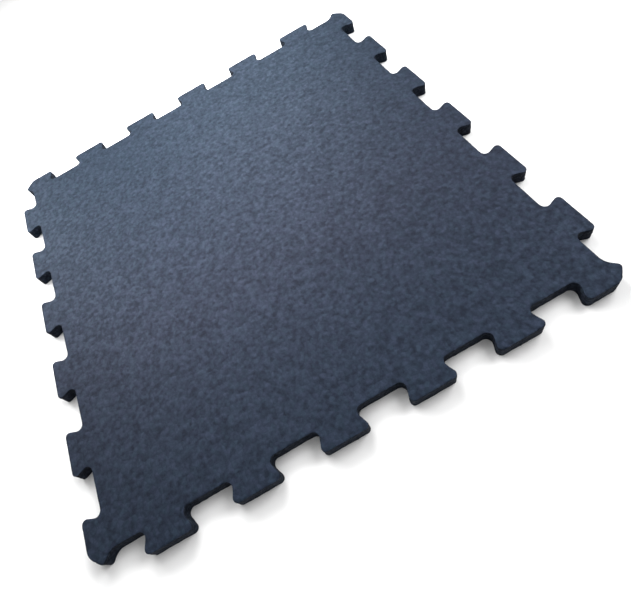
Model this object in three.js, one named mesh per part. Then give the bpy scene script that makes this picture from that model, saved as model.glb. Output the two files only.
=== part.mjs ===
// Rubber gym floor tile: a flat slab of bonded rubber granulate with a jigsaw edge.
// The four sides are the same run of dovetail tabs and sockets, turned by quarter turns,
// so any side locks into any side of a like tile.
// Lengths are in mm. The origin is the centre of the underside and +Z is up.
import * as THREE from 'three';

// Slab and pattern. Laid tiles repeat every PITCHES_IN_SIDE pitches, with a hairline joint.
const PITCH = 83.333;
const PITCHES_IN_SIDE = 6;
const THICKNESS = 15.0;
const JOINT_GAP = 0.3;

// Dovetail tab: its length from socket floor to tip, its width at the tip, its tip round.
const TAB_LENGTH = 19.5;
const TAB_TIP_WIDTH = 49.0;
const TIP_RADIUS = 4.5;

// The corner tab turns at 45 degrees to a point just inside the laid corner.
const POINT_SETBACK = 2.5;
const NOSE_RADIUS = 12.0;
const POINT_RADIUS = 4.0;

const ARC_SEGMENTS = 3;

// What receives a tab is the tab's own shape, one joint gap larger.
const TAB_NECK_WIDTH = PITCH - TAB_TIP_WIDTH - 2 * JOINT_GAP;
const NECK_RADIUS = TIP_RADIUS + JOINT_GAP;
const HEEL_RADIUS = NOSE_RADIUS + JOINT_GAP;

// Distances from the tile's centre. Tabs stand a quarter pitch off, so that like sides lock.
const SIDE_LINE = (PITCH * PITCHES_IN_SIDE - JOINT_GAP) / 2;
const FLOOR_LINE = SIDE_LINE - TAB_LENGTH / 2;
const TIP_LINE = SIDE_LINE + TAB_LENGTH / 2;
const TURN = FLOOR_LINE - POINT_SETBACK;
const FIRST_TAB = (0.75 - PITCHES_IN_SIDE / 2) * PITCH;

// A corner of the outline: distance along the side, distance out, and its round.
function corner(along, out, radius) {
  return { along, out, radius };
}

// Corners of one side, in order round the tile. Its last tab is cut short by the tile's corner.
function sideCorners() {
  const corners = [corner(-TURN, FLOOR_LINE, HEEL_RADIUS)];
  for (let i = 0; i < PITCHES_IN_SIDE; i += 1) {
    const middle = FIRST_TAB + i * PITCH;
    corners.push(corner(middle - TAB_NECK_WIDTH / 2, FLOOR_LINE, NECK_RADIUS));
    corners.push(corner(middle - TAB_TIP_WIDTH / 2, TIP_LINE, TIP_RADIUS));
    if (i < PITCHES_IN_SIDE - 1) {
      corners.push(corner(middle + TAB_TIP_WIDTH / 2, TIP_LINE, TIP_RADIUS));
      corners.push(corner(middle + TAB_NECK_WIDTH / 2, FLOOR_LINE, NECK_RADIUS));
    }
  }
  corners.push(corner(TURN, TIP_LINE, NOSE_RADIUS));
  corners.push(corner(SIDE_LINE, SIDE_LINE - POINT_SETBACK, POINT_RADIUS));
  return corners;
}

// The same corners on all four sides, each side a quarter turn on from the one before.
function tileCorners() {
  const centre = new THREE.Vector2(0, 0);
  const all = [];
  for (let side = 0; side < 4; side += 1) {
    for (const c of sideCorners()) {
      const place = new THREE.Vector2(c.along, -c.out);
      place.rotateAround(centre, side * Math.PI / 2);
      all.push({ place, radius: c.radius });
    }
  }
  return all;
}

// A closed outline whose corners are rounded by true arcs.
function roundedOutline(corners) {
  const shape = new THREE.Shape();
  const count = corners.length;
  for (let i = 0; i < count; i += 1) {
    const { place, radius } = corners[i];
    const back = corners[(i + count - 1) % count].place.clone().sub(place).normalize();
    const ahead = corners[(i + 1) % count].place.clone().sub(place).normalize();
    const halfAngle = Math.acos(back.dot(ahead)) / 2;
    const reach = radius / Math.tan(halfAngle);
    const toCentre = back.clone().add(ahead).normalize().multiplyScalar(radius / Math.sin(halfAngle));
    const centre = place.clone().add(toCentre);
    const start = place.clone().addScaledVector(back, reach).sub(centre);
    const end = place.clone().addScaledVector(ahead, reach).sub(centre);
    const clockwise = back.cross(ahead) > 0;
    shape.absarc(centre.x, centre.y, radius, start.angle(), end.angle(), clockwise);
  }
  shape.closePath();
  return shape;
}

// Dark grey rubber with a blue cast, dull all over.
const rubber = new THREE.MeshStandardMaterial({
  name: 'rubber',
  color: 0x4f5868,
  roughness: 0.92,
  metalness: 0,
});

const slab = new THREE.ExtrudeGeometry(roundedOutline(tileCorners()), {
  depth: THICKNESS,
  curveSegments: ARC_SEGMENTS,
  bevelEnabled: false,
});

const tile = new THREE.Mesh(slab, rubber);
tile.name = 'rubber_tile';

const part = new THREE.Group();
part.name = 'rubber_gym_floor_tile';
part.add(tile);

export default part;
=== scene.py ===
# %% [markdown]
# # Rubber gym floor tile
# The real tile is a slab of rubber crumb, pressed flat with a binder and then cut all round into
# a jigsaw edge, so that like tiles lock together without glue. Two things make it look real: a
# matt face speckled grain by grain, and a darker cut edge where the blade tore some grains out.
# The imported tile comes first. It fixes the place and the size of all that follows.

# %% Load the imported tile
import math
import bpy
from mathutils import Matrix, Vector


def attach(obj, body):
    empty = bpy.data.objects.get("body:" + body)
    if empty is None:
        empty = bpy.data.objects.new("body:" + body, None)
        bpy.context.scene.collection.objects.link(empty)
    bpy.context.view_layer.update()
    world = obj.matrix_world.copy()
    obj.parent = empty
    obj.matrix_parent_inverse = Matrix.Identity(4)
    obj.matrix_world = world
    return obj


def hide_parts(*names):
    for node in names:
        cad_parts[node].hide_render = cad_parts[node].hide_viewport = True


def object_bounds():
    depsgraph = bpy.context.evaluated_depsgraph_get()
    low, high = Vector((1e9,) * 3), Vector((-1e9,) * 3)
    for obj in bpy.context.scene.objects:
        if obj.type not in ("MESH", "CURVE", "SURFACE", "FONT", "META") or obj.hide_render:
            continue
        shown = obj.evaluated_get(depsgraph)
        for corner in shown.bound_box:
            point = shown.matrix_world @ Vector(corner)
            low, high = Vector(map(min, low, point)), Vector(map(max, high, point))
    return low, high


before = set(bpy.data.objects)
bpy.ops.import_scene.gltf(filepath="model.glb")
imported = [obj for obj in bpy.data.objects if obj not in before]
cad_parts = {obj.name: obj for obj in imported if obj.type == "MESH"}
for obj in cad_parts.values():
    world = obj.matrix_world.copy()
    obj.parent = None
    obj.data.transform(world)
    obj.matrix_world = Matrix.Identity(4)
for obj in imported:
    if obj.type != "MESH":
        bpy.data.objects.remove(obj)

packed_low, packed_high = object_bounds()
print("packed tile, mm:", [round(v * 1000, 1) for v in packed_high - packed_low])

# %% [markdown]
# ## Sizes
# The tile's lengths are written in millimetres, as on a drawing, and turned to metres by one
# helper. The edge is a run of dovetail tabs. A tab is wider at its tip than at its neck, and
# what receives it is the same shape with a hairline of room. A tab stands a quarter pitch off
# the middle of the side, which is why four like sides can lock into each other.

# %% The drawing in numbers
PITCH = 83.333
PITCHES_IN_SIDE = 6
JOINT_GAP = 0.3
TAB_LENGTH = 19.5
TAB_TIP_WIDTH = 49.0
TIP_RADIUS = 4.5
POINT_SETBACK = 2.5
NOSE_RADIUS = 12.0
POINT_RADIUS = 4.0

TAB_NECK_WIDTH = PITCH - TAB_TIP_WIDTH - 2 * JOINT_GAP
NECK_RADIUS = TIP_RADIUS + JOINT_GAP
HEEL_RADIUS = NOSE_RADIUS + JOINT_GAP
SIDE_LINE = (PITCH * PITCHES_IN_SIDE - JOINT_GAP) / 2
FLOOR_LINE = SIDE_LINE - TAB_LENGTH / 2
TIP_LINE = SIDE_LINE + TAB_LENGTH / 2
TURN = FLOOR_LINE - POINT_SETBACK
FIRST_TAB = (0.75 - PITCHES_IN_SIDE / 2) * PITCH


def metres(mm):
    return mm / 1000


THICKNESS = (packed_high.z - packed_low.z) * 1000
print("thickness, mm:", round(THICKNESS, 2), " tab neck, mm:", round(TAB_NECK_WIDTH, 2))

# %% [markdown]
# ## The corners of one side
# A cutting die is drawn as a list of sharp corners, each with the radius of its round. The side
# nearest the camera is drawn like that, from left to right. Its last tab is cut short by the
# tile's corner, where the edge turns at 45 degrees to a blunt point.

# %% Corners and their rounds
def side_corners():
    corners = [(-TURN, -FLOOR_LINE, HEEL_RADIUS)]
    for i in range(PITCHES_IN_SIDE):
        middle = FIRST_TAB + i * PITCH
        corners.append((middle - TAB_NECK_WIDTH / 2, -FLOOR_LINE, NECK_RADIUS))
        corners.append((middle - TAB_TIP_WIDTH / 2, -TIP_LINE, TIP_RADIUS))
        if i < PITCHES_IN_SIDE - 1:
            corners.append((middle + TAB_TIP_WIDTH / 2, -TIP_LINE, TIP_RADIUS))
            corners.append((middle + TAB_NECK_WIDTH / 2, -FLOOR_LINE, NECK_RADIUS))
    corners.append((TURN, -TIP_LINE, NOSE_RADIUS))
    corners.append((SIDE_LINE, POINT_SETBACK - SIDE_LINE, POINT_RADIUS))
    return corners


corners = side_corners()
print("corners on one side:", len(corners))

# %% [markdown]
# ## From corners to points
# Each corner is replaced by points on a true arc that touches both of its straight runs, and the
# runs get points too. The even spacing is for later: the torn edge needs a vertex every grain or
# so, or there is nothing to tear.

# %% Points on an arc and on a straight run
POINT_SPACING = 1.6
FEWEST_STEPS = 4


def arc_points(before, here, after, radius):
    back = (before - here).normalized()
    ahead = (after - here).normalized()
    half_angle = back.angle(ahead) / 2
    reach = radius / math.tan(half_angle)
    centre = here + (back + ahead).normalized() * (radius / math.sin(half_angle))
    start = here + back * reach - centre
    sweep = (here + ahead * reach - centre).angle_signed(start)
    steps = max(FEWEST_STEPS, round(abs(sweep) * radius / POINT_SPACING))
    points = []
    for i in range(steps + 1):
        c = math.cos(sweep * i / steps)
        s = math.sin(sweep * i / steps)
        points.append(centre + Vector((c * start.x - s * start.y, s * start.x + c * start.y)))
    return points


def run_points(start, end):
    cuts = max(1, round((end - start).length / POINT_SPACING))
    return [start.lerp(end, k / cuts) for k in range(1, cuts)]


print("points on the first round:",
      len(arc_points(Vector((0, 9)), Vector((0, 0)), Vector((9, 0)), TIP_RADIUS)))

# %% [markdown]
# The sides before and after are this side turned by a quarter, so their nearest corners come
# from it by swapping x and y.

# %% The chain of points along one side
def quarter_turn(point):
    return Vector((-point.y, point.x))


def quarter_turn_back(point):
    return Vector((point.y, -point.x))


places = [Vector((x, y)) for x, y, _ in corners]
chain = [quarter_turn_back(places[-1]), *places, quarter_turn(places[0])]
side_points = []
for i, (_, _, radius) in enumerate(corners):
    arc = arc_points(chain[i], chain[i + 1], chain[i + 2], radius)
    if side_points:
        side_points += run_points(side_points[-1], arc[0])
    side_points += arc
next_side_start = quarter_turn(side_points[0])
side_points += run_points(side_points[-1], next_side_start)
side_points.append(next_side_start)
print("points on one side:", len(side_points))

# %% [markdown]
# ## The flat shape
# By hand this is the oldest trick for a flat outline: a plane is merged to a single point, and
# that point is extruded from place to place along the drawing. Only one wedge, from the tile's
# centre to one side, is traced. The spin tool then copies it by quarter turns, so the four
# sides are exactly alike, and the wedges are dissolved into one face.

# %% Trace one wedge and copy it round
TOP = metres(THICKNESS)
MERGE_DISTANCE = 0.01

bpy.ops.object.select_all(action="DESELECT")
bpy.ops.mesh.primitive_plane_add(size=0.01, location=(0, 0, 0))
slab = bpy.context.object
slab.name = "granulate_slab"
bpy.ops.object.mode_set(mode="EDIT")
bpy.ops.mesh.merge(type="CENTER")
bpy.ops.transform.translate(value=(0, 0, TOP))
here = Vector((0, 0))
for point in side_points:
    step = point - here
    bpy.ops.mesh.extrude_vertices_move(
        TRANSFORM_OT_translate={"value": (metres(step.x), metres(step.y), 0)}
    )
    here = point
bpy.ops.mesh.select_all(action="SELECT")
bpy.ops.mesh.edge_face_add()
bpy.ops.mesh.spin(
    steps=3, dupli=True, angle=-math.radians(270), center=(0, 0, TOP), axis=(0, 0, 1)
)
bpy.ops.mesh.select_all(action="SELECT")
bpy.ops.mesh.remove_doubles(threshold=metres(MERGE_DISTANCE))
bpy.ops.mesh.dissolve_faces()
bpy.ops.object.mode_set(mode="OBJECT")
print("flat shape:", len(slab.data.vertices), "vertices,", len(slab.data.polygons), "face")

# %% [markdown]
# ## From the flat shape to a slab
# The die comes down through the whole thickness, so the edge is upright all round. The face is
# extruded downwards in thin layers instead of in one go: each layer is a little thinner than a
# real grain, and it gives the edge its vertices. One small helper selects faces by a test on
# each face, the way you would pick them by eye, because every operator acts on whatever is
# selected.

# %% Extrude in layers
LAYERS = 9


def select_faces(piece, wanted):
    bpy.ops.object.mode_set(mode="EDIT")
    bpy.ops.mesh.select_mode(type="FACE")
    bpy.ops.mesh.select_all(action="DESELECT")
    bpy.ops.object.mode_set(mode="OBJECT")
    for face in piece.data.polygons:
        face.select = wanted(face)
    bpy.ops.object.mode_set(mode="EDIT")


select_faces(slab, lambda face: True)
for _ in range(LAYERS):
    bpy.ops.mesh.extrude_region_move(
        TRANSFORM_OT_translate={"value": (0, 0, -TOP / LAYERS)}
    )
bpy.ops.mesh.select_all(action="SELECT")
bpy.ops.mesh.normals_make_consistent(inside=False)
bpy.ops.object.mode_set(mode="OBJECT")
print("slab:", len(slab.data.polygons), "faces")

# %% [markdown]
# ## The worn rim
# No rubber edge is razor sharp: the outermost grains are rubbed off. The loop round the top
# face gets a small bevel. Both broad faces are then inset a little, so that a narrow band beside
# the rim can sink with it while the broad face inside stays dead flat.

# %% Bevel the rim and inset the broad faces
RIM_BEVEL = 0.55
RIM_BAND = 1.3
BROAD_AREA = 0.1


def is_broad(face):
    return face.area > BROAD_AREA


select_faces(slab, lambda face: is_broad(face) and face.normal.z > 0)
bpy.ops.mesh.region_to_loop()
bpy.ops.mesh.bevel(offset=metres(RIM_BEVEL), segments=2, affect="EDGES")
select_faces(slab, is_broad)
bpy.ops.mesh.inset(thickness=metres(RIM_BAND), depth=0)
bpy.ops.object.mode_set(mode="OBJECT")
print("with its rim:", len(slab.data.polygons), "faces")

# %% [markdown]
# ## How much each place may wear
# A die shears some grains and pulls others out whole, so the cut is pitted, never smooth. A
# vertex group says how far each vertex may move when the edge is torn: fully on the cut, about a
# third on the top rim, and not at all on the broad faces.

# %% The vertex group for the cut
RIM_WEAR = 0.35
LEVEL_SLACK = 0.02


def wear_of(vertex):
    if vertex.index in broad_vertices:
        return 0.0
    if vertex.co.z > TOP - metres(LEVEL_SLACK):
        return RIM_WEAR
    return 1.0


broad_faces = [face for face in slab.data.polygons if is_broad(face)]
broad_vertices = {index for face in broad_faces for index in face.vertices}
cut = slab.vertex_groups.new(name="cut")
for vertex in slab.data.vertices:
    cut.add([vertex.index], wear_of(vertex), "REPLACE")
print("vertices that stay put:", len(broad_vertices), "of", len(slab.data.vertices))

# %% [markdown]
# ## The torn edge
# Two displace modifiers tear the cut, both inwards only, so that the tile keeps its size: one
# with a cell texture for single grains, one with soft clouds for shallow hollows of several
# grains. Real grains are two to three millimetres wide. That is too fine to show in a picture of
# the whole tile, so here and in the materials a grain is drawn nearly twice as wide.

# %% Displace the cut
GRAIN = 4.2
GRAIN_PIT = 0.5
HOLLOW_DEPTH = 0.45

grain_texture = bpy.data.textures.new("torn_grains", "VORONOI")
grain_texture.noise_scale = metres(GRAIN)
hollow_texture = bpy.data.textures.new("shallow_hollows", "CLOUDS")
hollow_texture.noise_scale = metres(3 * GRAIN)
hollow_texture.noise_depth = 2


def tear(piece, texture, depth_mm):
    modifier = piece.modifiers.new(texture.name, "DISPLACE")
    modifier.texture = texture
    modifier.texture_coords = "LOCAL"
    modifier.direction = "NORMAL"
    modifier.mid_level = 0.0
    modifier.strength = -metres(depth_mm)
    modifier.vertex_group = "cut"
    bpy.context.view_layer.objects.active = piece
    bpy.ops.object.modifier_apply(modifier=modifier.name)


tear(slab, grain_texture, GRAIN_PIT)
tear(slab, hollow_texture, HOLLOW_DEPTH)
reach = max(abs(v.co.x) for v in slab.data.vertices)
print("torn edge reaches, mm:", round(reach * 1000, 2), "of", round(packed_high.x * 1000, 2))

# %% [markdown]
# ## Shading
# The torn edge is smooth from face to face, or its small faces would read as cut glass. The two
# broad faces are flat, and shading them smooth would drag the rim's tilt far across them.

# %% Smooth the cut, keep the broad faces flat
SMOOTH_BELOW_DEGREES = 55

bpy.ops.object.select_all(action="DESELECT")
slab.select_set(True)
bpy.context.view_layer.objects.active = slab
bpy.ops.object.shade_smooth_by_angle(angle=math.radians(SMOOTH_BELOW_DEGREES))
select_faces(slab, is_broad)
bpy.ops.mesh.faces_shade_flat()
bpy.ops.object.mode_set(mode="OBJECT")
triangles = sum(len(face.vertices) - 2 for face in slab.data.polygons)
print("triangles:", triangles)

# %% [markdown]
# ## Colours and nodes
# Colours are written as sRGB hex, as a paint chart gives them, and shaders want linear light,
# so one function converts. Another adds a node, sets it and links it, which keeps each material
# readable as a list of what it is made of.

# %% Two helpers for materials
def linear(hex_colour):
    parts = [int(hex_colour[i:i + 2], 16) / 255 for i in (1, 3, 5)]
    return [c / 12.92 if c <= 0.04045 else ((c + 0.055) / 1.055) ** 2.4 for c in parts] + [1.0]


def add_node(tree, kind, inputs, **settings):
    node = tree.nodes.new(kind)
    for name, value in settings.items():
        setattr(node, name, value)
    for name, value in inputs.items():
        if isinstance(value, bpy.types.NodeSocket):
            tree.links.new(value, node.inputs[name])
        else:
            node.inputs[name].default_value = value
    return node


print("grey card, linear:", round(linear("#777777")[0], 3))

# %% [markdown]
# ## The mosaic of grains
# The slab is ground tyre rubber, pressed with a clear polyurethane binder. Up close it is a
# mosaic, and a cell texture is just that: each cell is one grain, with three random numbers of
# its own. A noise bends the cells first, because torn rubber has no straight sides.

# %% Grains and the seams between them
BEND_PATTERN = 1.5 * GRAIN


def mosaic(tree, place):
    bend = add_node(tree, "ShaderNodeTexNoise", {
        "Vector": place, "Scale": 1000 / BEND_PATTERN, "Detail": 1.0,
    })
    bend_centred = add_node(tree, "ShaderNodeVectorMath", {
        0: bend.outputs["Color"], 1: (0.5, 0.5, 0.5),
    }, operation="SUBTRACT")
    bent = add_node(tree, "ShaderNodeVectorMath", {
        0: bend_centred.outputs[0], 1: (metres(GRAIN),) * 3, 2: place,
    }, operation="MULTIPLY_ADD")
    grains = add_node(tree, "ShaderNodeTexVoronoi", {
        "Vector": bent.outputs[0], "Scale": 1000 / GRAIN, "Smoothness": 0.5,
    }, feature="SMOOTH_F1")
    seams = add_node(tree, "ShaderNodeTexVoronoi", {
        "Vector": bent.outputs[0], "Scale": 1000 / GRAIN,
    }, feature="DISTANCE_TO_EDGE")
    drawn = add_node(tree, "ShaderNodeSeparateColor", {"Color": grains.outputs["Color"]})
    return drawn.outputs, seams.outputs["Distance"]


print("grains along a side:", round(PITCH * PITCHES_IN_SIDE / GRAIN))

# %% [markdown]
# ## How light each grain is
# Black rubber is never one black. Each grain draws its own shade. Over it lies the film of
# binder, thicker here and thinner there, with dust in it: a noise with two finer octaves adds
# its own shade, which blurs the steps between neighbours and leaves small dark specks. Both
# shades swing about the middle of the ramp, so the mean tone stays put when a weight changes.

# %% Shade of the grains
FILM_PATTERN = 1.1 * GRAIN
FILM_WEIGHT = 2.0
GRAIN_WEIGHT = 0.55
MIDDLE = 0.5


def grain_shade(tree, place, drawn):
    film = add_node(tree, "ShaderNodeTexNoise", {
        "Vector": place, "Scale": 1000 / FILM_PATTERN, "Detail": 2.0, "Roughness": 0.7,
    })
    film_shade = add_node(tree, "ShaderNodeMath", {
        0: film.outputs["Fac"], 1: FILM_WEIGHT,
        2: MIDDLE * (1 - FILM_WEIGHT - GRAIN_WEIGHT),
    }, operation="MULTIPLY_ADD")
    shade = add_node(tree, "ShaderNodeMath", {
        0: drawn["Red"], 1: GRAIN_WEIGHT, 2: film_shade.outputs[0],
    }, operation="MULTIPLY_ADD")
    return shade.outputs[0]


print("film pattern, mm:", round(FILM_PATTERN, 1))

# %% [markdown]
# ## Colour of the crumb
# The shade picks a tone from a ramp of three slate blacks. Each grain is also a little warmer or
# cooler than the next, like crumb from many tyres. Last comes a painted shade in the seam
# between grains: the colour is darkened there, standing in for the shade that falls into the
# gaps.

# %% Tones, tints and seams
WARM_TINT = "#f6ecf8"
COOL_TINT = "#e6f4f2"
SEAM_WIDTH = 0.14


def crumb_colour(tree, shade, drawn, seam_distance, tones, painted_seam_shade):
    tone = add_node(tree, "ShaderNodeValToRGB", {"Fac": shade})
    tone.color_ramp.elements[0].color = linear(tones[0])
    tone.color_ramp.elements[1].color = linear(tones[2])
    tone.color_ramp.elements.new(MIDDLE).color = linear(tones[1])
    tint = add_node(tree, "ShaderNodeValToRGB", {"Fac": drawn["Green"]})
    tint.color_ramp.elements[0].color = linear(WARM_TINT)
    tint.color_ramp.elements[1].color = linear(COOL_TINT)
    tinted = add_node(tree, "ShaderNodeVectorMath", {
        0: tone.outputs["Color"], 1: tint.outputs["Color"],
    }, operation="MULTIPLY")
    # Painted shade: the colour is darkened along the seams between grains.
    seam = add_node(tree, "ShaderNodeMapRange", {
        "Value": seam_distance, "From Max": SEAM_WIDTH, "To Min": 1 - painted_seam_shade,
    }, interpolation_type="SMOOTHSTEP")
    colour = add_node(tree, "ShaderNodeVectorMath", {
        0: tinted.outputs[0], 1: seam.outputs["Result"],
    }, operation="MULTIPLY")
    return colour.outputs[0]


print("seam, mm:", round(SEAM_WIDTH * GRAIN, 2), "to either side")

# %% [markdown]
# ## Relief of the crumb
# Each grain bulges a little and stands at its own height. A bump map takes both from the same
# cells, so the relief and the tones belong to the same grains.

# %% Bulging grains
BULGE_WIDTH = 0.5


def crumb_relief(tree, drawn, seam_distance, relief_mm):
    bulge = add_node(tree, "ShaderNodeMapRange", {
        "Value": seam_distance, "From Max": BULGE_WIDTH,
    }, interpolation_type="SMOOTHSTEP")
    height = add_node(tree, "ShaderNodeMath", {
        0: drawn["Blue"], 1: bulge.outputs["Result"],
    }, operation="ADD")
    bump = add_node(tree, "ShaderNodeBump", {
        "Height": height.outputs[0], "Distance": metres(relief_mm), "Strength": 1.0,
    })
    return bump.outputs["Normal"]


print("a grain rises over, mm:", round(BULGE_WIDTH * GRAIN, 1))

# %% [markdown]
# ## Bloom, with a painted drift of light
# Rubber sweats a thin film of wax, its bloom, which tints even its sheen a slate blue. Across
# the tile that tint also drifts, and the drift is painted light: it stands in for the colour of
# the light changing as it falls from the far side to the near side. It leans to mauve short of
# the tile's middle and to teal at the far side, and the near side lies between the two. A drift
# as slow as that needs no noise, only a ramp along one axis of the tile, from 0 at the near side
# to
# 1 at the far side.

# %% Tint of the bloom, with painted light
# The three tints below are the bloom's slate blue with painted light mixed in: their drift is
# painted light.
NEAR_BLOOM_AND_PAINTED_LIGHT = "#b5cefc"
MAUVE_BLOOM_AND_PAINTED_LIGHT = "#c6d2ff"
TEAL_BLOOM_AND_PAINTED_LIGHT = "#aad1ff"
MAUVE_PLACE = 0.36
TEAL_PLACE = 0.85


def bloom_and_painted_light_tint(tree, place):
    axes = add_node(tree, "ShaderNodeSeparateXYZ", {"Vector": place})
    across = add_node(tree, "ShaderNodeMapRange", {
        "Value": axes.outputs["Y"],
        "From Min": -metres(TIP_LINE), "From Max": metres(TIP_LINE),
    })
    # Painted light: the ramp shifts the sheen's tint along the tile, from the near side to the
    # far side.
    tint = add_node(tree, "ShaderNodeValToRGB", {"Fac": across.outputs["Result"]})
    tint.color_ramp.elements[0].color = linear(NEAR_BLOOM_AND_PAINTED_LIGHT)
    tint.color_ramp.elements[1].position = TEAL_PLACE
    tint.color_ramp.elements[1].color = linear(TEAL_BLOOM_AND_PAINTED_LIGHT)
    tint.color_ramp.elements.new(MAUVE_PLACE).color = linear(MAUVE_BLOOM_AND_PAINTED_LIGHT)
    return tint.outputs["Color"]


print("the bloom drifts over, mm:", round(2 * TIP_LINE))

# %% [markdown]
# ## Rubber crumb
# The pressed face and the cut edge are the same stuff, so one function makes both. Rubber has an
# IOR of 1.52, but pores and dust take most of its gloss, so the specular level is low. Lighter
# grains are the ones that the mould smoothed, so they are a little less rough.

# %% The granulate material
RUBBER_IOR = 1.52
ROUGHNESS_SPREAD = 0.08


def granulate(name, tones, painted_seam_shade, relief_mm, roughness, gleam):
    material = bpy.data.materials.new(name)
    material.use_nodes = True
    tree = material.node_tree
    tree.nodes.clear()
    place = add_node(tree, "ShaderNodeTexCoord", {}).outputs["Object"]
    drawn, seam_distance = mosaic(tree, place)
    shade = grain_shade(tree, place, drawn)
    smoothed = add_node(tree, "ShaderNodeMapRange", {
        "Value": shade,
        "To Min": roughness + ROUGHNESS_SPREAD,
        "To Max": roughness - ROUGHNESS_SPREAD,
    })
    surface = add_node(tree, "ShaderNodeBsdfPrincipled", {
        "Base Color": crumb_colour(tree, shade, drawn, seam_distance, tones, painted_seam_shade),
        "Roughness": smoothed.outputs["Result"],
        "Normal": crumb_relief(tree, drawn, seam_distance, relief_mm),
        "IOR": RUBBER_IOR,
        "Specular IOR Level": gleam,
        "Specular Tint": bloom_and_painted_light_tint(tree, place),
    })
    add_node(tree, "ShaderNodeOutputMaterial", {"Surface": surface.outputs["BSDF"]})
    return material


print("roughness varies by", ROUGHNESS_SPREAD, "either way")

# %% [markdown]
# ## Two finishes
# The pressed crumb is flat and close, with thin seams, and gives the eye a fine even speckle
# under a broad pale gleam. The cut crumb shows fresh black rubber and open pores: it is darker
# and rougher, and the painted shade in its seams is much darker, for the pits where grains were
# pulled out, so it reads as a dark rim round the face.

# %% Pressed crumb and cut crumb
# The seam argument sets how far the colour is darkened in the seams, a painted shade.
pressed = granulate(
    "pressed_rubber_crumb", ["#0c1016", "#181f28", "#232b36"],
    painted_seam_shade=0.2, relief_mm=0.05, roughness=0.64, gleam=0.30,
)
sheared = granulate(
    "cut_rubber_crumb", ["#101419", "#171b22", "#21262e"],
    painted_seam_shade=0.6, relief_mm=0.4, roughness=0.88, gleam=0.2,
)
print("materials:", pressed.name, "and", sheared.name)

# %% [markdown]
# ## Which face wears which
# Faces that look up or down were pressed by the mould, and all the others were cut. The normal
# tells them apart, and the limit lies between the two strips of the bevel. The slab then takes
# the place of the imported tile, on the same body.

# %% Dress the slab
PRESSED_ABOVE = 0.6

slab.data.materials.append(pressed)
slab.data.materials.append(sheared)
for face in slab.data.polygons:
    face.material_index = 0 if abs(face.normal.z) > PRESSED_ABOVE else 1
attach(slab, "root")
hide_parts("rubber_tile")
print("cut faces:", sum(face.material_index for face in slab.data.polygons))

# %% [markdown]
# ## Floor
# The tile lies on plain white paper, so wide that its end is never seen. Paper is fully matt: no
# reflection of the tile, only its soft shadow. The floor lies a hair below the tile, or the two
# would flicker into each other.

# %% White paper
PAPER_WIDTH = 12000
PAPER_DROP = 0.1

bpy.ops.mesh.primitive_plane_add(size=metres(PAPER_WIDTH), location=(0, 0, -metres(PAPER_DROP)))
studio_floor = bpy.context.object
studio_floor.name = "studio_floor"
paper = bpy.data.materials.new("white_paper")
paper.use_nodes = True
paper.node_tree.nodes.clear()
paper_surface = add_node(paper.node_tree, "ShaderNodeBsdfPrincipled", {
    "Base Color": linear("#f2f2f2"), "Roughness": 1.0, "Specular IOR Level": 0.0,
})
add_node(paper.node_tree, "ShaderNodeOutputMaterial", {"Surface": paper_surface.outputs["BSDF"]})
studio_floor.data.materials.append(paper)
print("floor:", studio_floor.name)

# %% [markdown]
# ## Softboxes
# Four softboxes hang close over the tile's left half and its far side. Light falls off with
# distance, and seen from the near side their reflection glances off the face, so the face fades
# from a pale slate at the far left to near black at the near corner. A fifth stands off to the
# right and lights the rest evenly. None of them is seen by the camera, only what it lights.
# Places and sizes are in metres here, and powers in watts.

# %% Lights
def softbox(name, place, aim, size, power):
    bpy.ops.object.light_add(type="AREA", location=place)
    lamp = bpy.context.object
    lamp.name = name
    lamp.data.size = size
    lamp.data.energy = power
    lamp.visible_camera = False
    lamp.rotation_euler = (Vector(aim) - Vector(place)).to_track_quat("-Z", "Y").to_euler()
    return lamp


lamps = [
    softbox("far_left_softbox", (-0.42, 0.42, 0.33), (-0.21, 0.21, 0), 0.30, 2.9),
    softbox("high_left_softbox", (-0.15, 0.22, 0.55), (-0.075, 0.11, 0), 0.50, 2.1),
    softbox("low_softbox", (-0.12, 0.05, 0.22), (-0.06, 0.025, 0), 0.20, 0.25),
    softbox("far_softbox", (0.10, 0.45, 0.40), (0.05, 0.225, 0), 0.45, 6.6),
    softbox("right_softbox", (0.85, 0, 0.85), (0, 0, 0), 0.60, 10.1),
]
print("lamps, W:", [round(lamp.data.energy, 1) for lamp in lamps])

# %% [markdown]
# ## Air
# In a white studio the walls and the ceiling send light back from every side. A plain white
# world stands in for them and opens the shadows, so that only a narrow band beside the edge
# stays dark. The Standard view shows every tone as it is set, so white paper comes out white.

# %% World and view
AIR_STRENGTH = 0.45

world = bpy.data.worlds.new("studio_air")
bpy.context.scene.world = world
world.use_nodes = True
air = world.node_tree.nodes["Background"]
air.inputs["Color"].default_value = (1, 1, 1, 1)
air.inputs["Strength"].default_value = AIR_STRENGTH
bpy.context.scene.view_settings.view_transform = "Standard"
print("world:", world.name)

# %% [markdown]
# ## Camera
# The camera hangs just beyond the near side, not half a metre up, and looks steeply down. It is
# rolled about its own axis, so the tile's sides run slanting across the picture. The wide lens
# makes the near corner loom, and its small shift only slides the tile to its place in the frame.

# %% Camera
bpy.ops.object.camera_add(location=(-0.0019, -0.3617, 0.4357))
camera = bpy.context.object
camera.name = "camera"
camera.rotation_euler = [math.radians(a) for a in (31.723, 16.913, -25.164)]
camera.data.lens = 28.242
camera.data.sensor_width = 36
camera.data.shift_x = 0.0756
camera.data.shift_y = -0.0608
camera.data.clip_start = 0.02
bpy.context.scene.camera = camera
print("camera lens, mm:", round(camera.data.lens, 2))
